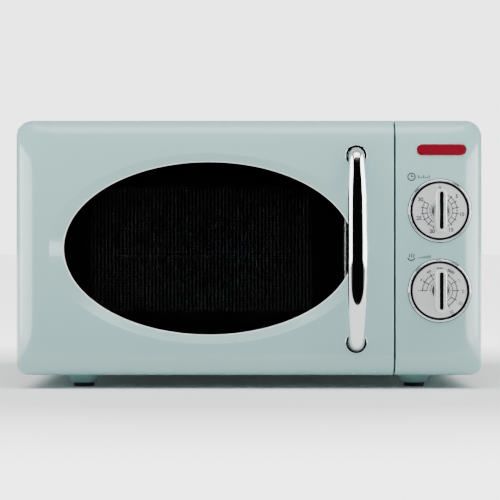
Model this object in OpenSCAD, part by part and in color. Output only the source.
// Countertop microwave oven with a side-hinged door, two dials, a turntable and a grill.
// Frame: +X to the right seen from the front, +Y towards the back, +Z up.
// The origin is on the table, under the centre of the overall box.

/* [Body] */
// Overall width
body_w = 455; // [450:1:600]
// Height of the body above its underside, without feet
body_h = 249; // [245:1:320]
// Depth of the casing behind the door and the control panel
case_d = 304; // [300:1:400]
// Thickness of the door and of the control panel
front_t = 40; // [38:0.5:50]
// Height of the underside above the table
foot_h = 13; // [12:0.5:20]
// Rounding of the front's edges in depth
edge_r = 22; // [12:0.5:26]
// Rounding of the front's two upper corners
top_r = 16; // [12:0.5:24]
// Rounding of the front's two lower corners
bottom_r = 11; // [8:0.5:16]
// Thickness of the sheet steel
sheet_t = 0.8; // [0.6:0.1:1.2]
// Wall of the moulded front parts
shell_t = 2.6; // [2:0.1:3.2]

/* [Oven cavity] */
// Width of the oven cavity
cavity_w = 300; // [290:1:304]
// Depth of the oven cavity
cavity_d = 285; // [275:1:290]
// Height of the oven cavity
cavity_h = 196; // [185:1:200]
// Distance from the body's left side to the cavity
cavity_side = 30.5; // [30:0.5:40]
// Height of the cavity's floor above the body's underside
cavity_rise = 28; // [28:0.5:36]

/* [Door] */
// Width of the control panel
panel_w = 85.3; // [80:0.1:92]
// Gap between the door and the control panel
seam = 1.8; // [1.2:0.1:3]
// Gap between the door and the front frame
door_gap = 1.2; // [1:0.1:2]
// Half the width of the oval window
window_a = 142; // [110:1:146]
// Half the height of the oval window
window_b = 84.5; // [65:0.5:90]
// Width of the sloping recess round the window
recess_w = 13; // [8:0.5:14]
// Depth of the recess
recess_d = 9; // [6:0.5:10]
// Thickness of the window pane
pane_t = 3; // [2.5:0.1:4]
// Radius of the door's hinge knuckle
knuckle_r = 9; // [8.5:0.1:10]
// Radius of the two hinge pins
pin_r = 3; // [2.5:0.1:3.5]

/* [Handle] */
// How far the handle stands out from the door
handle_reach = 38; // [34:0.5:48]
// Distance between the handle's two sockets
handle_span = 181; // [150:1:190]
// Distance from the handle to the door's right edge
handle_edge = 36.6; // [34:0.1:40]
// Half the grip's width at its middle
grip_half_w = 9.4; // [7:0.1:11]
// Half the grip's thickness at its middle
grip_half_t = 6.5; // [5:0.1:7.5]
// Half the width of the grip at its ends
grip_end_r = 7.4; // [6:0.1:7.6]

/* [Dials] */
// Radius of the printed dial
dial_r = 27.4; // [24:0.1:28.5]
// Distance between the two dials
dial_pitch = 77.5; // [74:0.5:90]
// Height of the lower dial above the body's underside
dial_rise = 83; // [80:0.5:95]
// Length of the grip on a knob
knob_len = 43; // [36:0.5:48]
// Width of the grip on a knob
knob_w = 10; // [8:0.5:12]
// How far a knob stands out from its dial
knob_h = 20; // [16:0.5:24]
// Radius of a control shaft
shaft_r = 3; // [2.5:0.1:3.5]

/* [Turntable] */
// Radius of the glass turntable
plate_r = 122.5; // [115:0.5:130]
// Radius of a roller wheel
wheel_r = 7.2; // [6.5:0.1:8]
// Radius of the track that the wheels run on
track_r = 91; // [80:0.5:95]
// Radius of the grill rack
rack_r = 95; // [80:0.5:100]
// Height of the grill rack's top above the glass
rack_h = 71; // [50:1:90]

/* [Fan] */
// Radius of the fan blades
fan_r = 44; // [38:0.5:46]

/* [Hidden] */
$fn = 48;
mint = [0.67, 0.79, 0.77];
chrome = [0.86, 0.87, 0.88];
black = [0.08, 0.08, 0.09];
steel = [0.68, 0.70, 0.72];
enamel = [0.62, 0.63, 0.62];
copper = [0.72, 0.40, 0.22];
ivory = [0.90, 0.88, 0.82];

slack = 0.3;        // clearance between faces that pass each other
run = 0.05;         // radial clearance of a running fit
screw_r = 2;        // shank of every screw
screw_head_r = 3.8; // head of every screw
screw_head_h = 1.6;
gland_flange = 2;   // how far the cord gland stands out behind

// The overall box
x_left = -body_w / 2;
x_right = body_w / 2;
z_bot = foot_h;
z_top = foot_h + body_h;
depth = case_d + front_t + handle_reach;
y_back = depth / 2;                   // rearmost face, on the cord gland
y_rear = y_back - gland_flange;       // outer face of the rear panel
y_frame = y_back - case_d;            // front face of the front frame
y_face = y_frame - front_t;           // front face of the door and the panel

// The wrapped case
case_in = 1;                          // the case lies this far inside the front's outline
case_y = y_frame + 1.5;               // front edge of the case
case_x = x_right - case_in;
case_top = z_top - case_in;
case_bot = z_bot + case_in;
flange_w = 20;                        // the case's two bottom flanges

// The base pan and its feet
pan_z = case_bot + sheet_t;           // underside of the pan, on the case's flanges
pan_top = pan_z + sheet_t;
pan_x = x_right - bottom_r - 1;
pan_wall = 12;
foot_x = 164.5 + (body_w - 455) / 2;
foot_front_y = y_frame + 20;
foot_rear_y = y_rear - 40;
foot_pad_h = 4;
foot_pad_r = 10.3;
foot_plug_r = 3.5;
boss_r = 19;
boss_tip_r = 12.5;

// The oven cavity
cav_x0 = x_left + cavity_side;
cav_x1 = cav_x0 + cavity_w;
cav_y0 = y_frame + sheet_t;
cav_y1 = cav_y0 + cavity_d;
cav_z0 = z_bot + cavity_rise;
cav_z1 = cav_z0 + cavity_h;
table_x = (cav_x0 + cav_x1) / 2;
table_y = (cav_y0 + cav_y1) / 2;
wall_x = cav_x1 + sheet_t;            // outer face of the cavity's right wall
bay_x = (wall_x + case_x) / 2;        // middle of the component bay

// The door
panel_x = x_right - panel_w;          // left face of the control panel
door_x1 = panel_x - seam;             // right face of the door
rim_y = y_frame - door_gap;           // rear face of the door
hinge_x = x_left + knuckle_r;
hinge_y = rim_y - knuckle_r;
open_x0 = hinge_x + knuckle_r;        // left edge of the opening in the door's back
open_x1 = door_x1 - shell_t;
window_x = -39 + (body_w - 455) * -0.5;
window_z = z_bot + body_h / 2 - 0.5;
window_grow = (window_a + recess_w) / window_a;
pane_y = y_face + recess_d + shell_t;
plate_y = rim_y - 4;                  // front face of the door's steel plate
choke_in = 3;
choke_out = 11.5;
choke_d = 16;
screen_x0 = window_x - window_a * 0.86;
screen_x1 = window_x + window_a * 0.75;
screen_z0 = window_z - window_b * 0.80;
screen_z1 = window_z + window_b * 0.78;
handle_x = door_x1 - handle_edge;
handle_z = z_bot + body_h / 2 - 1.2;
socket_r = 11;
socket_stem_r = 9.8;
socket_hole_r = socket_stem_r + 0.3;
socket_bore_r = grip_end_r + 0.25;
socket_out = 5;                       // how far a socket stands out from the door
socket_in = 8;                        // how far it reaches in
grip_y = y_face - handle_reach + grip_half_t;   // middle of the grip's section
grip_end_y = y_face - socket_out - 7; // where the grip's ends turn in to the sockets
grip_sag = grip_end_y - grip_y;
grip_arc_r = (pow(handle_span / 2, 2) + pow(grip_sag, 2)) / (2 * grip_sag);
elbow_r = 9;                          // bend between the grip and its ends
elbow_at = asin((handle_span / 2 - elbow_r) / (grip_arc_r - elbow_r));
elbow_y = grip_y + grip_arc_r - (grip_arc_r - elbow_r) * cos(elbow_at);

// The hinge arms, at the top and bottom of the door
arm_t = 2.5;
arm_r = 6.5;
arm_low = z_bot + bottom_r * 0.45 + 1.5;
arm_high = z_top - top_r * 0.45 - 1.5 - arm_t;
arm_slack = 1;
bush_r = pin_r + 2.2;
pin_len = 9;

// The latch in the door
latch_x = door_x1 - 11.5;             // middle of the latch
latch_t = 5;
latch_y = plate_y - 10;
latch_travel = 4;
hook_z = [z_bot + 70, z_bot + 176];   // undersides of the two hooks
hook_h = 9;
hook_len = 24;
hook_barb = 4;
slot_slack = 2.4;
spring_r = 3.4;
spring_wire = 0.5;
spring_len = 20;
spring_turns = 12;

// The dials and what is behind them
dial_x = panel_x + panel_w / 2 - 0.05;
dial_z = [z_bot + dial_rise + dial_pitch, z_bot + dial_rise];   // timer, then power
dial_front = y_face - 0.8;
dial_t = 2.4;
bezel_r = dial_r + 3.2;
bezel_in = dial_r + 1;
bezel_hole = dial_r + 1.8;
bezel_out = 2.2;
hub_r = 8.5;
insert_w = 3.6;
insert_t = 1;
unit_front = y_frame - 15;            // front faces of the timer and the power selector
unit_d = 36;
timer_size = 58;
selector_size = 48;
post_r = 3;

// The turntable
glass_z = cav_z0 + 2 * wheel_r + 2 * slack;   // underside of the glass
glass_t = 5;
rim_h = 7;
wheel_w = 5;
ring_r = track_r - wheel_w / 2 - slack;
ring_w = 8;
ring_h = 5;
stub_r = 1.95;
coupler_r = 7.5;
stem_r = 3.5;
motor_r = 24;
motor_h = 14;
rack_wire = 2.2;
rack_rod = 1.5;

// The component bay
guide_y = table_y - 18;               // middle of the waveguide and the magnetron
guide_w = 80;
guide_d = 34;
guide_z0 = cav_z0 + 100;
guide_z1 = cav_z1 - 6;
port_h = 34;
tube_z = guide_z1 - 36;               // axis of the magnetron
fan_y = y_rear - sheet_t - 18;        // middle of the fan blades
fan_z = tube_z - 10;
fan_hub_r = 9;
duct_half = fan_r + 6;
lamp_y = guide_y;                     // lamp behind the oven's perforated wall
lamp_z = guide_z0 - 24;
core_y0 = y_frame + 72;
core_len = 56;
core_half = 42;
core_h = 72;
leg_half = 13;
gap_w = 15;
gland_r = 3.8;
gland_x = case_x - 28;
gland_z = pan_top + 32;
gland_len = 13;

// ---------------------------------------------------------------- shapes used by several pieces

// A box from its two ends along each axis
module span(x, y, z) {
    translate([x[0], y[0], z[0]])
        cube([x[1] - x[0], y[1] - y[0], z[1] - z[0]]);
}

// Round bars along X, Y and Z
module bar_x(x, y, z, r) {
    translate([x[0], y, z])
        rotate([0, 90, 0])
            cylinder(r = r, h = x[1] - x[0]);
}

module bar_y(x, y, z, r) {
    translate([x, y[0], z])
        rotate([-90, 0, 0])
            cylinder(r = r, h = y[1] - y[0]);
}

module bar_z(x, y, z, r) {
    translate([x, y, z[0]])
        cylinder(r = r, h = z[1] - z[0]);
}

// The rounded form shared by the door and the control panel, inset by t on every side
module front_form(t, y1) {
    intersection() {
        hull() {
            for (s = [-1, 1]) {
                bar_y(s * (x_right - top_r), [y_face - 1, y1], z_top - top_r, top_r - t, $fn = 32);
                bar_y(s * (x_right - bottom_r), [y_face - 1, y1], z_bot + bottom_r, bottom_r - t,
                      $fn = 32);
            }
        }
        hull() {
            for (s = [-1, 1])
                bar_z(s * (x_right - edge_r), y_face + edge_r, [z_bot - 1, z_top + 1], edge_r - t,
                      $fn = 32);
            span([x_left + t, x_right - t], [y1, y1 + 1], [z_bot - 1, z_top + 1]);
        }
        hull() {
            for (z = [z_bot + edge_r, z_top - edge_r])
                bar_x([x_left - 1, x_right + 1], y_face + edge_r, z, edge_r - t, $fn = 32);
            span([x_left - 1, x_right + 1], [y1, y1 + 1], [z_bot + t, z_top - t]);
        }
    }
}

// The rounded outline of the case, between two depths, inset by t
module case_form(t, y) {
    hull() {
        for (s = [-1, 1]) {
            bar_y(s * (x_right - top_r), y, z_top - top_r, top_r - case_in - t, $fn = 32);
            bar_y(s * (x_right - bottom_r), y, z_bot + bottom_r, bottom_r - case_in - t, $fn = 32);
        }
    }
}

// An oval disc or cone facing forwards, its half width a in front and a + grow behind
module oval(y, a0, a1) {
    translate([window_x, y[1], window_z])
        rotate([90, 0, 0])
            scale([1, window_b / window_a, 1])
                cylinder(r1 = a1, r2 = a0, h = y[1] - y[0], $fn = 96);
}

// A sheet frame: a flat rectangle with a rectangular hole
module ring_xz(x, z, hx, hz, y) {
    difference() {
        span(x, y, z);
        span(hx, [y[0] - 1, y[1] + 1], hz);
    }
}

function foot_points() = [[-foot_x, foot_front_y], [foot_x, foot_front_y],
                          [-foot_x, foot_rear_y], [foot_x, foot_rear_y]];

function rear_screw_points() = [for (s = [-1, 1]) for (z = [z_bot + 26, z_top - 24]) [s * (case_x - 5), z]];

function under_screw_points() = [for (s = [-1, 1]) for (y = [y_frame + 60, y_rear - 60]) [s * (pan_x - 4), y]];

// ---------------------------------------------------------------- body

// Pressed steel floor with a boss over each foot and slots under the component bay
module base_pan() {
    color(steel) {
        difference() {
            union() {
                span([-pan_x, pan_x], [case_y + 3, y_rear - 3], [pan_z, pan_top]);
                for (s = [-1, 1])
                    span([s * pan_x - sheet_t / 2, s * pan_x + sheet_t / 2], [case_y + 3, y_rear - 3],
                         [pan_z, pan_top + pan_wall]);
                for (p = foot_points())
                    translate([p[0], p[1], foot_pad_h])
                        cylinder(r1 = boss_tip_r, r2 = boss_r, h = pan_z - foot_pad_h + 0.1);
            }
            for (p = foot_points()) {
                translate([p[0], p[1], foot_pad_h + sheet_t])
                    cylinder(r1 = boss_tip_r - sheet_t, r2 = boss_r - sheet_t,
                             h = pan_top - foot_pad_h - sheet_t + 0.1);
                bar_z(p[0], p[1], [foot_pad_h - 1, foot_pad_h + 2], foot_plug_r + 0.1);
            }
            for (i = [0:8])
                span([bay_x - 30, bay_x + 36], [y_rear - 150 + i * 8, y_rear - 147 + i * 8],
                     [pan_z - 1, pan_top + 1]);
            for (p = under_screw_points())
                bar_z(p[0], p[1], [pan_z - 1, pan_top + 1], screw_r + 0.1);
        }
    }
}

// Four rubber feet, each with a plug through the pan and a lip that holds it
module feet() {
    color(black)
        for (p = foot_points()) {
            translate([p[0], p[1], 0])
                cylinder(r1 = foot_pad_r - 1, r2 = foot_pad_r, h = 1);
            bar_z(p[0], p[1], [1, foot_pad_h], foot_pad_r);
            bar_z(p[0], p[1], [foot_pad_h - 0.5, foot_pad_h + sheet_t + 0.1], foot_plug_r);
            translate([p[0], p[1], foot_pad_h + sheet_t])
                cylinder(r1 = foot_plug_r + 1.2, r2 = foot_plug_r - 0.5, h = 3);
        }
}

// Painted sheet steel wrapped round the left, the top and the right, with two flanges underneath
module outer_case() {
    color(mint)
        difference() {
            case_form(0, [case_y, y_rear - sheet_t]);
            case_form(sheet_t, [case_y - 1, y_rear - 2 * sheet_t]);
            span([-case_x + flange_w, case_x - flange_w], [case_y - 1, y_rear + 1],
                 [case_bot - 1, case_bot + sheet_t + 1]);
            span([-case_x + 10, case_x - 10], [y_rear - 5, y_rear + 1], [case_bot - 1, case_top - 10]);
            for (i = [0:7]) {
                span([case_x - 2, case_x + 2], [y_rear - 46 - i * 9, y_rear - 42 - i * 9],
                     [z_bot + 60, z_bot + 100]);
                span([-case_x - 2, -case_x + 2], [y_rear - 46 - i * 9, y_rear - 42 - i * 9],
                     [z_top - 70, z_top - 40]);
            }
            for (p = rear_screw_points())
                bar_y(p[0], [y_rear - 4, y_rear + 1], p[1], screw_r + 0.1);
            for (p = under_screw_points())
                bar_z(p[0], p[1], [case_bot - 1, case_bot + 2], screw_r + 0.1);
        }
}

// Steel back with the fan's inlet, an outlet for the cavity's air and the cord gland's hole
module rear_panel() {
    color(steel)
        difference() {
            case_form(0, [y_rear - sheet_t, y_rear]);
            for (i = [-5:5])
                span([bay_x + i * 7 - 1.6, bay_x + i * 7 + 1.6], [y_rear - 3, y_rear + 1],
                     [fan_z - sqrt(1500 - i * i * 49), fan_z + sqrt(1500 - i * i * 49)]);
            for (i = [0:9])
                span([cav_x0 + 30 + i * 12, cav_x0 + 34 + i * 12], [y_rear - 3, y_rear + 1],
                     [z_top - 60, z_top - 32]);
            bar_y(gland_x, [y_rear - 3, y_rear + 1], gland_z, gland_r + 2.6);
            for (p = rear_screw_points())
                bar_y(p[0], [y_rear - 3, y_rear + 1], p[1], screw_r + 0.1);
        }
}

// Enamelled steel front of the body, with the oven's mouth, the latch's slots and the panel's window
module front_frame() {
    color(enamel)
        difference() {
            union() {
                span([x_left + 6, panel_x + 8], [y_frame, y_frame + sheet_t], [z_bot + 4, z_top - 5]);
                span([panel_x + 7, x_right - 6], [y_frame, y_frame + sheet_t], [z_bot + 4, z_top - 5]);
                span([x_left + 17, x_right - 17], [y_frame, y_frame + 12], [z_top - 5.8, z_top - 5]);
                span([x_left + 17, x_right - 17], [y_frame, y_frame + 12], [z_bot + 4, z_bot + 4.8]);
            }
            span([cav_x0, cav_x1], [y_frame - 1, y_frame + 1], [cav_z0, cav_z1]);
            for (z = [arm_low, arm_high])
                span([x_left, hinge_x + arm_r + 0.5], [y_frame - 1, y_frame + 1], [z - 0.5, z + arm_t + 0.5]);
            for (z = hook_z)
                span([latch_x - latch_t / 2 - slot_slack, latch_x + latch_t / 2 + slot_slack],
                     [y_frame - 1, y_frame + 1],
                     [z - hook_barb - 1.5, z + hook_h + latch_travel + 1.5]);
            span([panel_x + 9, x_right - 8], [y_frame - 1, y_frame + 1], [z_bot + 12, z_top - 14]);
            for (s = [-1, 1])
                for (z = [z_bot + 3.9, z_top - 4.9])
                    translate([s * (x_right - 6), y_frame - 1, z])
                        rotate([0, 45, 0])
                            cube([14, 4, 14], center = true);
        }
}

// Enamelled steel oven box, open to the front
module oven_cavity() {
    w = sheet_t;
    color(enamel)
        difference() {
            span([cav_x0 - w, cav_x1 + w], [cav_y0, cav_y1 + w], [cav_z0 - w, cav_z1 + w]);
            span([cav_x0, cav_x1], [cav_y0 - 1, cav_y1], [cav_z0, cav_z1]);
            bar_z(table_x, table_y, [cav_z0 - 2, cav_z0 + 1], stem_r + 1.5);
            span([table_x - 118, table_x + 118], [table_y - 42, table_y + 42], [cav_z1 - 1, cav_z1 + 2]);
            span([cav_x1 - 1, cav_x1 + 2], [guide_y - 34, guide_y + 34],
                 [guide_z0 + 6, guide_z0 + 6 + port_h]);
            for (i = [0:4])
                for (j = [0:3])
                    bar_x([cav_x1 - 1, cav_x1 + 2], lamp_y + (i - 2) * 5, lamp_z + (j - 1.5) * 5, 1.6,
                          $fn = 16);
            for (i = [0:5])
                for (j = [0:2])
                    bar_y(cav_x0 + 36 + i * 7, [cav_y1 - 1, cav_y1 + 2], cav_z1 - 22 - j * 7, 1.8,
                          $fn = 16);
        }
}

// Moulded front of the controls: a pocket for each dial and four posts behind it for each unit
module control_panel() {
    color(mint)
        difference() {
            union() {
                difference() {
                    front_form(0, y_frame);
                    difference() {
                        front_form(shell_t, y_frame + 2);
                        span([x_left - 1, panel_x + shell_t], [y_face - 1, y_frame + 3],
                             [z_bot - 1, z_top + 1]);
                        for (z = dial_z)
                            bar_y(dial_x, [y_face, y_face + 4.4], z, bezel_hole + 2);
                    }
                }
                for (z = dial_z)
                    for (a = [45:90:315])
                        bar_y(dial_x + 25 * cos(a), [y_face + 4, unit_front], z + 25 * sin(a), post_r);
            }
            span([x_left - 2, panel_x], [y_face - 2, y_frame + 3], [z_bot - 2, z_top + 2]);
            for (z = dial_z) {
                bar_y(dial_x, [y_face - 1, y_face + 1.6], z, bezel_hole);
                bar_y(dial_x, [y_face, y_face + 6], z, shaft_r + 1);
                for (a = [45:90:315])
                    bar_y(dial_x + 25 * cos(a), [unit_front - 9, unit_front + 1], z + 25 * sin(a), 1.3,
                          $fn = 16);
            }
        }
}

// Plain enamel badge
module badge() {
    bw = 18.2;
    color([0.62, 0.07, 0.10])
        hull()
            for (s = [-1, 1])
                bar_y(dial_x + 1.7 + s * bw, [y_face - 1, y_face], z_top - 29.6, 6.2, $fn = 32);
}

// Chrome ring round each dial
module dial_bezels() {
    color(chrome)
        for (z = dial_z)
            difference() {
                union() {
                    bar_y(dial_x, [y_face - bezel_out, y_face], z, bezel_r);
                    bar_y(dial_x, [y_face - bezel_out, y_face + 1.6], z, bezel_hole - 0.15);
                }
                bar_y(dial_x, [y_face - bezel_out - 1, y_face + 3], z, bezel_in);
                translate([dial_x, y_face - bezel_out - 0.01, z])
                    rotate([-90, 0, 0])
                        cylinder(r1 = bezel_in + 1, r2 = bezel_in, h = 1);
            }
}

// Spun aluminium discs that carry the scales
module dials() {
    color([0.78, 0.79, 0.80])
        for (z = dial_z)
            difference() {
                bar_y(dial_x, [dial_front, dial_front + dial_t], z, dial_r);
                bar_y(dial_x, [dial_front - 1, dial_front + dial_t + 1], z, shaft_r + 1);
            }
}

// ---------------------------------------------------------------- door

// Moulded door: rounded front, sloping recess round the window, hinge knuckle at the left
module door_frame() {
    color(mint)
        difference() {
            union() {
                difference() {
                    front_form(0, rim_y);
                    intersection() {
                        front_form(shell_t, rim_y + 2);
                        union() {
                            span([x_left, open_x1], [y_face, hinge_y - knuckle_r - shell_t],
                                 [z_bot, z_top]);
                            span([open_x0, open_x1], [y_face + 1, rim_y + 2], [z_bot, z_top]);
                        }
                    }
                }
                intersection() {
                    oval([y_face + 0.5, pane_y], window_a + recess_w + shell_t * 1.6,
                         window_a + shell_t * 1.6);
                    span([x_left + 10, door_x1 - 5], [y_face + 0.5, pane_y], [z_bot, z_top]);
                }
            }
            span([door_x1, x_right + 2], [y_face - 2, rim_y + 3], [z_bot - 2, z_top + 2]);
            oval([y_face - 0.01, y_face + recess_d], window_a + recess_w, window_a);
            oval([y_face + recess_d - 1, pane_y + 1], window_a - 0.01, window_a - 0.01);
            difference() {
                span([x_left - 1, hinge_x], [hinge_y, rim_y + 1], [z_bot - 1, z_top + 1]);
                bar_z(hinge_x, hinge_y, [z_bot - 2, z_top + 2], knuckle_r);
            }
            for (z = [arm_low, arm_high])
                span([x_left - 1, hinge_x + arm_r + arm_slack],
                     [hinge_y - arm_r - arm_slack - 1, rim_y + 1], [z - arm_slack, z + arm_t + arm_slack]);
            bar_z(hinge_x, hinge_y, [arm_low, arm_low + arm_t + pin_len + 1], bush_r);
            bar_z(hinge_x, hinge_y, [arm_high - pin_len - 1, arm_high], bush_r);
            bar_z(hinge_x, hinge_y, [arm_low + arm_t + pin_len, arm_high - pin_len], bush_r);
            for (s = [-1, 1])
                bar_y(handle_x, [y_face - 1, y_face + 5], handle_z + s * handle_span / 2, socket_hole_r);
        }
}

// Oval pane bonded behind the recess
module door_glass() {
    color([0.10, 0.11, 0.11])
        oval([pane_y, pane_y + pane_t], window_a + shell_t, window_a + shell_t);
}

// Steel back of the door with the folded choke channel round the oven's mouth
module door_plate() {
    fold = plate_y - choke_d;
    ox = [cav_x0 - choke_out, cav_x1 + choke_out];
    oz = [cav_z0 - choke_out, cav_z1 + choke_out];
    ix = [cav_x0 - choke_in, cav_x1 + choke_in];
    iz = [cav_z0 - choke_in, cav_z1 + choke_in];
    w = sheet_t;
    color(steel)
        difference() {
            union() {
                span([open_x0 + slack, open_x1 - slack], [plate_y, plate_y + w],
                     [z_bot + shell_t + slack, z_top - shell_t - slack]);
                span(ox, [fold, plate_y + w], oz);
            }
            ring_xz([ox[0] + w, ox[1] - w], [oz[0] + w, oz[1] - w], [ix[0] - w, ix[1] + w],
                    [iz[0] - w, iz[1] + w], [fold + w, plate_y + w + 1]);
            span(ix, [fold - 1, plate_y], iz);
            span([screen_x0 + 3, screen_x1 - 3], [plate_y - 1, plate_y + w + 1],
                 [screen_z0 + 3, screen_z1 - 3]);
            for (z = hook_z)
                span([latch_x - latch_t / 2 - 1, latch_x + latch_t / 2 + 1], [plate_y - 1, plate_y + w + 1],
                     [z - hook_barb - 1.5, z + hook_h + latch_travel + 1.5]);
        }
}

// Perforated sheet behind the window, its fine holes joined into short slits
module door_screen() {
    nx = 42;
    nz = 5;
    px = (screen_x1 - screen_x0 - 12) / nx;
    pz = (screen_z1 - screen_z0 - 12) / nz;
    color([0.05, 0.05, 0.05])
        difference() {
            span([screen_x0, screen_x1], [plate_y - 0.6, plate_y], [screen_z0, screen_z1]);
            for (i = [0:nx - 1])
                for (j = [0:nz - 1])
                    span([screen_x0 + 6 + (i + 0.3) * px, screen_x0 + 6 + (i + 0.7) * px],
                         [plate_y - 1, plate_y + 1],
                         [screen_z0 + 6 + j * pz + 1, screen_z0 + 6 + (j + 1) * pz - 1]);
        }
}

// Clear sheet that keeps steam out of the door
module inner_window() {
    color([0.82, 0.84, 0.84])
        span([screen_x0 - 2, screen_x1 + 2], [plate_y + sheet_t, plate_y + sheet_t + 1.4],
             [screen_z0 - 2, screen_z1 + 2]);
}

// Black moulding that covers the choke channel and frames the inner window
module choke_cover() {
    color(black)
        difference() {
            ring_xz([open_x0 + slack, open_x1 - slack], [z_bot + shell_t + slack, z_top - shell_t - slack],
                    [screen_x0 - 2.2, screen_x1 + 2.2], [screen_z0 - 2.2, screen_z1 + 2.2],
                    [plate_y + sheet_t, rim_y]);
            for (z = hook_z)
                span([latch_x - latch_t / 2 - 1, latch_x + latch_t / 2 + 1], [plate_y, rim_y + 1],
                     [z - hook_barb - 1.5, z + hook_h + latch_travel + 1.5]);
        }
}

// Two nylon bushes in the door's knuckle
module hinge_bushes() {
    color(ivory)
        for (z = [arm_low + arm_t + arm_slack, arm_high - pin_len])
            difference() {
                bar_z(hinge_x, hinge_y, [z, z + pin_len - arm_slack], bush_r - 0.02);
                bar_z(hinge_x, hinge_y, [z - 1, z + pin_len + 1], pin_r + run);
            }
}

// Two steel arms on the front frame, each with a pin for the door
module hinge_plates() {
    color(steel)
        for (k = [0, 1]) {
            z = k == 0 ? arm_low : arm_high;
            up = k == 0 ? arm_t - 0.1 : -pin_len + 0.5;
            bar_z(hinge_x, hinge_y, [z, z + arm_t], arm_r);
            span([hinge_x - arm_r, hinge_x + arm_r], [hinge_y, y_frame - 0.5], [z, z + arm_t]);
            span([hinge_x - 2, hinge_x + arm_r], [hinge_y, y_frame + sheet_t + 1.5], [z, z + arm_t]);
            span([hinge_x - 2, hinge_x + arm_r + 4], [y_frame + sheet_t + 0.05, y_frame + sheet_t + 1.5],
                 [k == 0 ? z : z - 22, k == 0 ? z + arm_t + 22 : z + arm_t]);
            bar_z(hinge_x, hinge_y, [z + up, z + up + pin_len - 0.4], pin_r);
        }
}

// One section of the grip at a distance z from its middle: position, direction, half width, half thickness
function grip_section(y, z, turn) =
    let (k = 1 - pow(min(abs(z) / (handle_span / 2), 1), 4))
    [y, z, turn, grip_end_r + (grip_half_w - grip_end_r) * k, grip_end_r + (grip_half_t - grip_end_r) * k];

// One end of the grip, from its plug round the bend
function grip_end() = concat(
    [grip_section(y_face + socket_in - 2.2, handle_span / 2, 180)],
    [for (i = [0:5]) let (t = i * (90 - elbow_at) / 6)
        grip_section(elbow_y - elbow_r * sin(t), handle_span / 2 - elbow_r + elbow_r * cos(t), 180 + t)]);

function grip_bow() = [for (i = [-9:9]) let (t = -i * elbow_at / 9)
    grip_section(grip_y + grip_arc_r * (1 - cos(t)), grip_arc_r * sin(t), 270 - t)];

function grip_path() = concat(grip_end(), grip_bow(),
    [for (i = [6:-1:0]) let (p = grip_end()[i]) [p[0], -p[1], 540 - p[2], p[3], p[4]]]);

// Bowed chrome grip with its two ends turned in to the sockets
module handle() {
    path = grip_path();
    n = len(path);
    m = 24;
    points = [for (p = path) for (j = [0:m - 1])
        [handle_x + p[3] * cos(j * 360 / m),
         p[0] - p[4] * sin(j * 360 / m) * sin(p[2]),
         handle_z + p[1] + p[4] * sin(j * 360 / m) * cos(p[2])]];
    faces = concat(
        [[for (j = [0:m - 1]) j]],
        [[for (j = [m - 1:-1:0]) (n - 1) * m + j]],
        [for (i = [0:n - 2]) for (j = [0:m - 1])
            [i * m + j, (i + 1) * m + j, (i + 1) * m + (j + 1) % m]],
        [for (i = [0:n - 2]) for (j = [0:m - 1])
            [i * m + j, (i + 1) * m + (j + 1) % m, i * m + (j + 1) % m]]);
    color(chrome)
        difference() {
            polyhedron(points = points, faces = faces, convexity = 4);
            for (s = [-1, 1])
                bar_y(handle_x, [y_face - 10, y_face + socket_in], handle_z + s * handle_span / 2,
                      screw_r + 0.05);
        }
}

// Two chrome cups that the grip's ends stand in
module handle_sockets() {
    color(chrome)
        for (s = [-1, 1])
            difference() {
                union() {
                    translate([handle_x, y_face, handle_z + s * handle_span / 2])
                        rotate([90, 0, 0])
                            cylinder(r1 = socket_r, r2 = socket_r - 1.4, h = socket_out);
                    bar_y(handle_x, [y_face - 1, y_face + socket_in], handle_z + s * handle_span / 2,
                          socket_stem_r);
                }
                bar_y(handle_x, [y_face - socket_out - 1, y_face + socket_in - 2],
                      handle_z + s * handle_span / 2, socket_bore_r);
                bar_y(handle_x, [y_face, y_face + socket_in + 1], handle_z + s * handle_span / 2,
                      screw_r + 0.3);
            }
}

// Two screws that hold the handle from inside the door
module handle_screws() {
    color(steel)
        for (s = [-1, 1]) {
            bar_y(handle_x, [y_face - 8, y_face + socket_in + 0.1], handle_z + s * handle_span / 2,
                  screw_r);
            bar_y(handle_x, [y_face + socket_in, y_face + socket_in + screw_head_h],
                  handle_z + s * handle_span / 2, screw_head_r);
        }
}

// Sliding latch with two hooks
module latch_hook() {
    z0 = hook_z[0] - 14;
    z1 = hook_z[1] + hook_h + 6;
    x = [latch_x - latch_t / 2, latch_x + latch_t / 2];
    color(ivory) {
        difference() {
            union() {
                span(x, [latch_y - 4, latch_y + 4], [z0, z1]);
                for (z = hook_z) {
                    span(x, [latch_y, y_frame + hook_len], [z, z + hook_h]);
                    span(x, [y_frame + hook_len - 9, y_frame + hook_len - 2], [z - hook_barb, z + 1]);
                }
                span([x[0] - 2, x[1]], [latch_y - 4, latch_y + 4], [z0, z0 + 3]);
            }
            for (z = hook_z)
                translate([latch_x, y_frame + hook_len, z - hook_barb - 0.5])
                    rotate([45, 0, 0])
                        cube([latch_t + 1, 7, 7], center = true);
        }
    }
}

// Close-wound tension spring that pulls the latch down, its coils drawn as ridges
module latch_spring() {
    zb = hook_z[0] - 14.2 - spring_len;
    pitch = spring_len / spring_turns;
    color(steel)
        translate([latch_x, latch_y, zb])
            rotate_extrude($fn = 24)
                polygon(concat(
                    [[spring_r - 2 * spring_wire, 0]],
                    [for (i = [0:spring_turns - 1]) each [[spring_r - spring_wire, i * pitch],
                                                          [spring_r + spring_wire, (i + 0.5) * pitch]]],
                    [[spring_r - spring_wire, spring_len], [spring_r - 2 * spring_wire, spring_len]]));
}

// ---------------------------------------------------------------- controls

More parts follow.
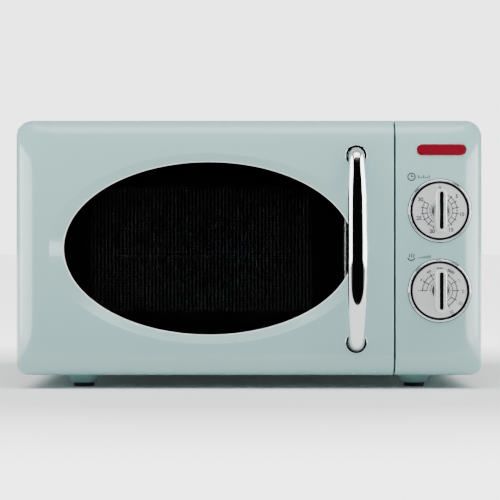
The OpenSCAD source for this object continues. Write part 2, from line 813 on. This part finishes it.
// Knob: conical hub and a bar grip across it
module knob(z, a) {
    yk = dial_front - slack;
    color(chrome)
        translate([dial_x, yk, z])
            rotate([0, a, 0])
                rotate([90, 0, 0])
                    difference() {
                        union() {
                            cylinder(r1 = hub_r + 2, r2 = hub_r, h = 6);
                            hull()
                                for (s = [-1, 1])
                                    translate([0, s * (knob_len - knob_w) / 2, 2])
                                        cylinder(r1 = knob_w / 2, r2 = knob_w / 2 - 0.6, h = knob_h - 2,
                                                 $fn = 32);
                        }
                        translate([0, 0, -1])
                            cylinder(r = shaft_r + run, h = knob_h - 6);
                        translate([-insert_w / 2, -knob_len / 2 + 3.5, knob_h - insert_t])
                            cube([insert_w, knob_len - 7, insert_t + 1]);
                    }
}

// Dark inlay along the front of a knob
module knob_insert(z, a) {
    yk = dial_front - slack;
    color(black)
        translate([dial_x, yk, z])
            rotate([0, a, 0])
                rotate([90, 0, 0])
                    translate([-insert_w / 2 + 0.05, -knob_len / 2 + 3.55, knob_h - insert_t])
                        cube([insert_w - 0.1, knob_len - 7.1, insert_t]);
}

// Control shaft with a collar inside its unit
module control_shaft(z) {
    color(steel) {
        bar_y(dial_x, [dial_front - slack - knob_h + 8, unit_front + unit_d - 8], z, shaft_r);
        bar_y(dial_x, [unit_front + 6, unit_front + 9], z, shaft_r + 3);
    }
}

// Housing of a control unit, with the shaft's bearing in front and four ears for screws
module control_body(z, size) {
    h = size / 2;
    difference() {
        union() {
            span([dial_x - h, dial_x + h], [unit_front, unit_front + unit_d], [z - h, z + h]);
            bar_y(dial_x, [unit_front - 5, unit_front + 1], z, shaft_r + 3);
        }
        span([dial_x - h + 2, dial_x + h - 2], [unit_front + 5, unit_front + unit_d - 3],
             [z - h + 2, z + h - 2]);
        bar_y(dial_x, [unit_front - 6, unit_front + 6], z, shaft_r + run);
    }
}

// Clockwork timer with its bell
module timer_unit() {
    yb = unit_front + unit_d;
    color(steel)
        control_body(dial_z[0], timer_size);
    color([0.80, 0.78, 0.72])
        translate([dial_x - 4, yb, dial_z[0] + 4])
            rotate([-90, 0, 0]) {
                cylinder(r = 3, h = 4);
                translate([0, 0, 3.9])
                    cylinder(r1 = 18, r2 = 12, h = 7);
            }
}

// Rotary power selector with its terminals
module power_selector() {
    yb = unit_front + unit_d;
    color(ivory)
        control_body(dial_z[1], selector_size);
    color(copper)
        for (i = [-1, 0, 1])
            for (j = [-1, 1])
                span([dial_x + i * 13 - 3, dial_x + i * 13 + 3], [yb - 0.2, yb + 8],
                     [dial_z[1] + j * 10 - 0.4, dial_z[1] + j * 10 + 0.4]);
}

// ---------------------------------------------------------------- component bay

// Magnetron: finned block between two plates, its antenna reaching in to the waveguide
module magnetron() {
    x0 = wall_x + guide_d + 0.1;
    color(steel) {
        span([x0, x0 + 2], [guide_y - 42, guide_y + 42], [tube_z - 30, tube_z + 30]);
        span([x0 + 56, x0 + 58], [guide_y - 42, guide_y + 42], [tube_z - 30, tube_z + 30]);
        for (s = [-1, 1])
            span([x0 + 1, x0 + 57], [guide_y - 40, guide_y + 40], [tube_z + s * 29 - 0.8, tube_z + s * 29 + 0.8]);
        bar_x([x0 + 1, x0 + 57], guide_y, tube_z, 17);
        for (i = [0:7])
            span([x0 + 11 + i * 5, x0 + 11.8 + i * 5], [guide_y - 38, guide_y + 38],
                 [tube_z - 29, tube_z + 29]);
    }
    color(ivory)
        bar_x([x0 - 20, x0 + 1], guide_y, tube_z, 9);
    color(steel)
        span([x0 + 58, x0 + 74], [guide_y - 20, guide_y + 20], [tube_z - 24, tube_z + 24]);
}

// Rectangular duct on the cavity's right wall
module waveguide() {
    w = 1;
    x = [wall_x + 0.1, wall_x + guide_d];
    color(steel)
        difference() {
            union() {
                span(x, [guide_y - guide_w / 2, guide_y + guide_w / 2], [guide_z0, guide_z1]);
                span([x[0], x[0] + w], [guide_y - guide_w / 2 - 8, guide_y + guide_w / 2 + 8],
                     [guide_z0, guide_z1]);
            }
            span([x[0] - 1, x[1] - w], [guide_y - guide_w / 2 + w, guide_y + guide_w / 2 - w],
                 [guide_z0 + w, guide_z1 - w]);
            bar_x([x[1] - 2, x[1] + 1], guide_y, tube_z, 11);
        }
}

// Mica sheet over the waveguide's port inside the oven
module waveguide_cover() {
    color([0.72, 0.66, 0.52])
        span([cav_x1 - 0.5, cav_x1], [guide_y - 42, guide_y + 42], [guide_z0, guide_z0 + port_h + 12]);
}

// Laminated core with two windows
module transformer_core() {
    z0 = pan_top + 0.1;
    win = [z0 + leg_half, z0 + core_h - leg_half];
    color([0.35, 0.36, 0.38]) {
        difference() {
            span([bay_x - core_half, bay_x + core_half], [core_y0, core_y0 + core_len], [z0, z0 + core_h]);
            for (s = [-1, 1])
                span([bay_x + s * (leg_half + gap_w / 2) - gap_w / 2,
                      bay_x + s * (leg_half + gap_w / 2) + gap_w / 2],
                     [core_y0 - 1, core_y0 + core_len + 1], win);
        }
        span([bay_x - core_half - 1, bay_x + core_half + 1], [core_y0 - 12, core_y0 + core_len + 12],
             [z0, z0 + 2]);
    }
}

// Copper windings round the core's middle leg
module transformer_coils() {
    z0 = pan_top + 0.1 + leg_half;
    win = [[z0 + 1, z0 + 22], [z0 + 25, z0 + core_h - 2 * leg_half - 1]];
    color(copper)
        for (w = win)
            difference() {
                span([bay_x - leg_half - gap_w + 1, bay_x + leg_half + gap_w - 1],
                     [core_y0 - gap_w + 2, core_y0 + core_len + gap_w - 2], w);
                span([bay_x - leg_half - 0.5, bay_x + leg_half + 0.5],
                     [core_y0 - 0.5, core_y0 + core_len + 0.5], [w[0] - 1, w[1] + 1]);
            }
}

// High-voltage capacitor standing in its clamp
module capacitor() {
    y0 = core_y0 + core_len + 34;
    z0 = pan_top + 0.1;
    color([0.74, 0.75, 0.76]) {
        for (s = [-1, 1])
            bar_z(bay_x + 14 + s * 11, y0 + 18, [z0, z0 + 78], 16);
        span([bay_x + 3, bay_x + 25], [y0 + 2, y0 + 34], [z0, z0 + 78]);
    }
    color(ivory)
        for (s = [-1, 1])
            bar_z(bay_x + 14 + s * 9, y0 + 18, [z0 + 77, z0 + 84], 4);
}

// High-voltage diode between the capacitor and the chassis
module hv_diode() {
    y0 = core_y0 + core_len + 52;
    color(black)
        bar_y(bay_x - 22, [y0 - 12, y0 + 8], pan_top + 12, 3.2);
    color(copper) {
        bar_y(bay_x - 22, [y0 + 7.9, y0 + 20], pan_top + 12, 0.7, $fn = 13);
        bar_z(bay_x - 22, y0 + 20, [pan_top + 0.1, pan_top + 12.7], 0.7, $fn = 13);
    }
}

// Shaded-pole fan motor on the duct's cross bar
module fan_motor() {
    y1 = fan_y - 16;
    color([0.40, 0.41, 0.43]) {
        span([bay_x - 24, bay_x + 24], [y1 - 20, y1], [fan_z - 24, fan_z + 12]);
        bar_y(bay_x, [y1 - 24, y1 + 4], fan_z, 9);
    }
    color(copper)
        span([bay_x - 15, bay_x + 15], [y1 - 26, y1 + 5], [fan_z - 38, fan_z - 23.9]);
    color(steel)
        bar_y(bay_x, [y1 + 3.9, fan_y + 4], fan_z, 1.5);
}

// Moulded duct round the fan, open behind, with a bar across it for the motor
module fan_duct() {
    y = [fan_y - 60, y_rear - sheet_t - 1];
    color([0.86, 0.86, 0.84])
        difference() {
            union() {
                difference() {
                    span([bay_x - duct_half, bay_x + duct_half], y, [fan_z - duct_half, fan_z + duct_half]);
                    span([bay_x - duct_half + 2, bay_x + duct_half - 2], [y[0] - 1, fan_y - 11],
                         [fan_z - duct_half + 2, fan_z + duct_half - 2]);
                    bar_y(bay_x, [fan_y - 12, y[1] + 1], fan_z, fan_r + 2.5);
                }
                span([bay_x - duct_half + 1, bay_x + duct_half - 1], [fan_y - 15.9, fan_y - 11],
                     [fan_z - 6, fan_z + 6]);
            }
            bar_y(bay_x, [fan_y - 20, fan_y], fan_z, 10);
        }
}

// Five-bladed cooling fan
module fan_blade() {
    color([0.20, 0.22, 0.25])
        difference() {
            union() {
                bar_y(bay_x, [fan_y - 8, fan_y + 8], fan_z, fan_hub_r);
                for (i = [0:4])
                    translate([bay_x, fan_y, fan_z])
                        rotate([0, i * 72, 0])
                            translate([0, 0, fan_hub_r - 1])
                                rotate([0, 0, 32])
                                    translate([-15, -0.7, 0])
                                        cube([30, 1.4, fan_r - fan_hub_r - 5]);
            }
            bar_y(bay_x, [fan_y - 9, fan_y + 5], fan_z, 1.5 + run);
        }
}

// Flat synchronous motor under the oven's floor
module turntable_motor() {
    z1 = cav_z0 - sheet_t - 0.1;
    color(steel) {
        bar_z(table_x, table_y, [z1 - motor_h, z1], motor_r);
        for (s = [-1, 1])
            span([table_x + s * 28 - 7, table_x + s * 28 + 7], [table_y - 6, table_y + 6], [z1 - 1.2, z1]);
    }
}

// Coupler on the motor's stem: three lobes that fit under the glass
module turntable_coupler() {
    color(ivory)
        union() {
            bar_z(table_x, table_y, [cav_z0 - sheet_t, cav_z0 + 5], stem_r);
            bar_z(table_x, table_y, [cav_z0 + 4, glass_z], coupler_r);
            for (a = [0, 120, 240])
                translate([table_x + 11 * cos(a), table_y + 11 * sin(a), glass_z - 6])
                    cylinder(r = 3.4, h = 6);
            for (a = [0, 120, 240])
                translate([table_x, table_y, glass_z - 5])
                    rotate([0, 0, a])
                        translate([0, -2.5, 0])
                            cube([11, 5, 4]);
        }
}

// Glass plate with a raised rim and three locating studs underneath
module glass_turntable() {
    color([0.75, 0.80, 0.80])
        translate([table_x, table_y, 0]) {
            rotate_extrude($fn = 96)
                polygon([[0, glass_z + 0.1], [plate_r - 9, glass_z + 0.1], [plate_r - 4, glass_z + 3],
                         [plate_r, glass_z + glass_t + rim_h - 1], [plate_r - 1, glass_z + glass_t + rim_h],
                         [plate_r - 3.4, glass_z + glass_t + rim_h - 2],
                         [plate_r - 7.6, glass_z + glass_t], [0, glass_z + glass_t]]);
            for (a = [60, 180, 300])
                translate([11 * cos(a), 11 * sin(a), glass_z - 4])
                    cylinder(r = 3, h = 4.2);
        }
}

// Plastic ring with three arms and a stub for each wheel
module roller_ring() {
    zc = cav_z0 + slack + wheel_r;
    color([0.90, 0.90, 0.88])
        translate([table_x, table_y, 0]) {
            difference() {
                translate([0, 0, zc - ring_h / 2])
                    cylinder(r = ring_r, h = ring_h, $fn = 96);
                translate([0, 0, zc - ring_h / 2 - 1])
                    cylinder(r = ring_r - ring_w, h = ring_h + 2, $fn = 96);
            }
            for (a = [90, 210, 330])
                rotate([0, 0, a])
                    bar_x([ring_r - 2, ring_r + wheel_w + slack + 1.6], 0, zc, stub_r);
            for (a = [90, 210, 330])
                rotate([0, 0, a])
                    bar_x([ring_r + wheel_w + 2 * slack, ring_r + wheel_w + slack + 1.6], 0, zc,
                          stub_r + 0.8);
        }
}

// Wheel on one of the ring's stubs
module roller_wheel(a) {
    zc = cav_z0 + slack + wheel_r;
    color([0.80, 0.80, 0.78])
        translate([table_x, table_y, 0])
            rotate([0, 0, a])
                difference() {
                    bar_x([ring_r + slack, ring_r + slack + wheel_w], 0, zc, wheel_r);
                    bar_x([ring_r - 1, ring_r + wheel_w + 2], 0, zc, stub_r + run);
                }
}

// Wire rack on four legs
module grill_rack() {
    zb = glass_z + glass_t + rack_rod + 0.35;
    zt = glass_z + glass_t + rack_h - rack_wire;
    color(chrome)
        translate([table_x, table_y, 0]) {
            translate([0, 0, zt])
                rotate_extrude($fn = 64)
                    translate([rack_r, 0])
                        circle(r = rack_wire, $fn = 16);
            translate([0, 0, zt])
                rotate_extrude($fn = 48)
                    translate([rack_r * 0.5, 0])
                        circle(r = rack_rod, $fn = 13);
            for (i = [-3:3])
                bar_x([-sqrt(pow(rack_r, 2) - pow(i * rack_r / 4, 2)),
                       sqrt(pow(rack_r, 2) - pow(i * rack_r / 4, 2))], i * rack_r / 4, zt + 0.4, rack_rod,
                      $fn = 13);
            for (a = [45:90:315])
                bar_z(rack_r * cos(a), rack_r * sin(a), [zb, zt], rack_rod + 0.3, $fn = 16);
            for (a = [45:90:315])
                translate([rack_r * cos(a), rack_r * sin(a), zb])
                    sphere(r = rack_rod + 0.3, $fn = 16);
        }
}

// Bright steel trough over the heating tubes
module grill_reflector() {
    w = sheet_t;
    z0 = cav_z1 + w + 0.1;
    color(steel)
        difference() {
            union() {
                span([table_x - 122, table_x + 122], [table_y - 46, table_y + 46], [z0, z0 + 17]);
                span([table_x - 128, table_x + 128], [table_y - 52, table_y + 52], [z0, z0 + w]);
            }
            span([table_x - 122 + w, table_x + 122 - w], [table_y - 46 + w, table_y + 46 - w],
                 [z0 - 1, z0 + 17 - w]);
            for (s = [-1, 1])
                for (k = [-1, 1])
                    bar_x([table_x + s * 121 - 3, table_x + s * 121 + 3], table_y + k * 20, z0 + 8, 3.4);
        }
}

// Two quartz heating tubes with ceramic ends
module grill_tubes() {
    z = cav_z1 + sheet_t + 8.1;
    for (k = [-1, 1]) {
        color([0.92, 0.90, 0.86])
            bar_x([table_x - 116, table_x + 116], table_y + k * 20, z, 4.6);
        color(ivory)
            for (s = [-1, 1])
                bar_x([table_x + s * 121 - 6, table_x + s * 121 + 6], table_y + k * 20, z, 3);
    }
}

// Wire guard under the tubes
module grill_guard() {
    z = cav_z1 - 1.7;
    color(chrome) {
        for (s = [-1, 1])
            bar_x([table_x - 121, table_x + 121], table_y + s * 45, z, 1.6, $fn = 16);
        for (i = [-9:9])
            bar_y(table_x + i * 12.5, [table_y - 46, table_y + 46], z - 0.4, 1, $fn = 13);
    }
}

// Lamp holder outside the oven's perforated wall
module lamp_holder() {
    x0 = wall_x + 0.2;
    color([0.85, 0.84, 0.80])
        difference() {
            union() {
                span([x0, x0 + 1.5], [lamp_y - 20, lamp_y + 20], [lamp_z - 20, lamp_z + 20]);
                bar_x([x0, x0 + 38], lamp_y, lamp_z, 14);
            }
            bar_x([x0 - 1, x0 + 30], lamp_y, lamp_z, 12.4);
        }
}

// Small lamp on its cap
module lamp_bulb() {
    x0 = wall_x + 4;
    color([0.95, 0.93, 0.85])
        translate([x0, lamp_y, lamp_z])
            rotate([0, 90, 0]) {
                cylinder(r1 = 5, r2 = 8.5, h = 5);
                translate([0, 0, 4.9])
                    cylinder(r = 8.5, h = 8);
                translate([0, 0, 12.8])
                    cylinder(r1 = 8.5, r2 = 6, h = 5);
                translate([0, 0, 17.7])
                    cylinder(r = 6, h = 8.5);
            }
}

// Moulded carrier of the latch's catches, the switches and the lever
module latch_board() {
    y = [y_frame + sheet_t + 0.1, y_frame + 42];
    x = [latch_x - 6, latch_x + 6];
    color(ivory)
        difference() {
            union() {
                span([x[0] - 1, x[1] + 1], y, [hook_z[0] - 16, hook_z[1] + 34]);
                span([latch_x - 12, x[0]], [y[0], y[0] + 3], [hook_z[0] - 16, hook_z[1] + 34]);
            }
            for (z = hook_z)
                span([latch_x - latch_t / 2 - slot_slack - 1, latch_x + latch_t / 2 + slot_slack + 1],
                     [y[0] - 1, y_frame + hook_len + 4],
                     [z - hook_barb - 1.5, z + hook_h + latch_travel + 2]);
            span([x[0] - 2, x[0] + 10], [y[0] + 28, y[1] + 1], [hook_z[0] + 26, hook_z[1] - 12]);
        }
    color(steel)
        bar_x([x[0] + 4, latch_x + 11.6], y[0] + 35, hook_z[0] + 20, 2);
}

// Three door switches behind the latch board
module door_switches() {
    y0 = y_frame + 42.3;
    color([0.15, 0.15, 0.17])
        for (z = [hook_z[0] - 10, hook_z[0] + 46, hook_z[1] - 4])
            span([latch_x - 5, latch_x + 5], [y0, y0 + 16], [z, z + 28]);
    color(copper)
        for (z = [hook_z[0] - 10, hook_z[0] + 46, hook_z[1] - 4])
            for (i = [0, 1, 2])
                span([latch_x - 3, latch_x + 3], [y0 + 15.9, y0 + 22], [z + 4 + i * 9, z + 5 + i * 9]);
}

// Lever that a hook tips to work the middle switch
module interlock_lever() {
    yp = y_frame + sheet_t + 35.1;
    zp = hook_z[0] + 20;
    color([0.75, 0.20, 0.15])
        difference() {
            union() {
                bar_x([latch_x + 7.4, latch_x + 11], yp, zp, 5);
                span([latch_x + 7.4, latch_x + 11], [yp - 3, yp + 3], [zp, zp + 34]);
            }
            bar_x([latch_x + 6, latch_x + 12], yp, zp, 2 + run);
        }
}

// Mains filter board on two stand-offs
module filter_board() {
    x0 = bay_x - 58;
    y0 = y_rear - 92;
    z0 = pan_top + 0.1;
    color([0.16, 0.38, 0.22])
        span([x0 + 6, x0 + 46], [y0, y0 + 62], [z0 + 6, z0 + 7.6]);
    color(ivory) {
        for (i = [0, 1])
            bar_z(x0 + 26, y0 + 8 + i * 46, [z0, z0 + 6.1], 3);
        bar_z(x0 + 18, y0 + 22, [z0 + 7.5, z0 + 22], 9);
    }
    color([0.80, 0.66, 0.20])
        span([x0 + 30, x0 + 42], [y0 + 10, y0 + 38], [z0 + 7.5, z0 + 24]);
}

// Moulded gland in the rear panel
module cord_gland() {
    color(black)
        difference() {
            union() {
                bar_y(gland_x, [y_rear + 0.05, y_back], gland_z, gland_r + 5);
                bar_y(gland_x, [y_back - gland_len, y_back - 0.2], gland_z, gland_r + 2.4);
                bar_y(gland_x, [y_back - gland_len, y_rear - sheet_t - 0.05], gland_z, gland_r + 4);
            }
            bar_y(gland_x, [y_back - gland_len - 1, y_back + 1], gland_z, gland_r);
        }
}

// Identical screws: four through the back, four up through the case's flanges
module case_screws() {
    color(steel) {
        for (p = rear_screw_points()) {
            bar_y(p[0], [y_rear - 7, y_rear + 0.1], p[1], screw_r);
            bar_y(p[0], [y_rear, y_rear + screw_head_h], p[1], screw_head_r);
        }
        for (p = under_screw_points()) {
            bar_z(p[0], p[1], [case_bot - 0.2, case_bot + 7], screw_r);
            bar_z(p[0], p[1], [case_bot - screw_head_h, case_bot], screw_head_r);
        }
    }
}

// ---------------------------------------------------------------- every piece

module timer_knob() {
    knob(dial_z[0], 0);
}

module timer_knob_insert() {
    knob_insert(dial_z[0], 0);
}

module timer_shaft() {
    control_shaft(dial_z[0]);
}

module power_knob() {
    knob(dial_z[1], 0);
}

module power_knob_insert() {
    knob_insert(dial_z[1], 0);
}

module power_shaft() {
    control_shaft(dial_z[1]);
}

module roller_wheel_1() {
    roller_wheel(90);
}

module roller_wheel_2() {
    roller_wheel(210);
}

module roller_wheel_3() {
    roller_wheel(330);
}

base_pan();
feet();
outer_case();
rear_panel();
front_frame();
oven_cavity();
control_panel();
badge();
dial_bezels();
dials();
timer_unit();
power_selector();
magnetron();
waveguide();
waveguide_cover();
transformer_core();
transformer_coils();
capacitor();
hv_diode();
fan_motor();
fan_duct();
fan_blade();
turntable_motor();
grill_reflector();
grill_tubes();
grill_guard();
lamp_holder();
lamp_bulb();
latch_board();
door_switches();
interlock_lever();
filter_board();
cord_gland();
hinge_plates();
case_screws();
door_frame();
door_glass();
door_plate();
door_screen();
inner_window();
choke_cover();
hinge_bushes();
handle();
handle_sockets();
handle_screws();
latch_hook();
latch_spring();
timer_knob();
timer_knob_insert();
timer_shaft();
power_knob();
power_knob_insert();
power_shaft();
glass_turntable();
turntable_coupler();
roller_ring();
roller_wheel_1();
roller_wheel_2();
roller_wheel_3();
grill_rack();
